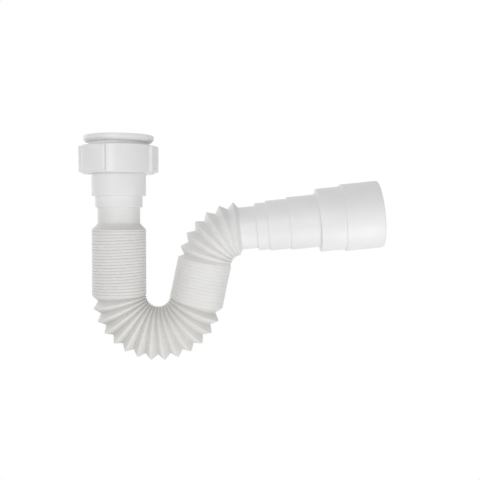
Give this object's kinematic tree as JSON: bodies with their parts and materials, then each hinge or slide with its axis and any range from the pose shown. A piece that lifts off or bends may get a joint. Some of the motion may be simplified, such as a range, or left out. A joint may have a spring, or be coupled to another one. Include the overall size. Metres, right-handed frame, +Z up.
{
  "type": "flexible trap",
  "caption": "White flexible waste trap: concertina tube bent in a U, with a stepped outlet, a lugged union nut and a reducing bush at the inlet.",
  "frame": {"origin": "on the inlet axis, where the inside thread of the bush starts, just under its top face", "axes": "+Z up out of the inlet, +X toward the outlet, the tube in the plane Y = 0"},
  "size_m": [0.2305, 0.059, 0.1698],
  "materials": {
    "tube": "satin white moulded plastic",
    "nut": "glossy white moulded plastic",
    "bush": "glossy white moulded plastic",
    "washer": "matt black rubber"
  },
  "bodies": {
    "bush": {"reducing_bush": "bush", "inlet_washer": "washer"},
    "washer": {"sealing_washer": "washer"},
    "nut": {"union_nut": "nut"},
    "tube": {"bellows_tube": "tube"}
  },
  "joints": [
    {"name": "union_travel", "type": "slide", "parent": "bush", "child": "washer", "axis": [0, 0, 1], "range_m": [-0.01154, 0]},
    {"name": "nut_turn", "type": "hinge", "parent": "washer", "child": "nut", "pos_m": [0, 0, -0.017], "axis": [0, 0, 1], "range_deg": [-1800, 0]},
    {"name": "tube_swivel", "type": "hinge", "parent": "washer", "child": "tube", "pos_m": [0, 0, -0.0215], "axis": [0, 0, 1], "continuous": true}
  ],
  "couplings": [
    {"joint": "nut_turn", "follows": "union_travel", "rad_per_m": 2721.1}
  ]
}
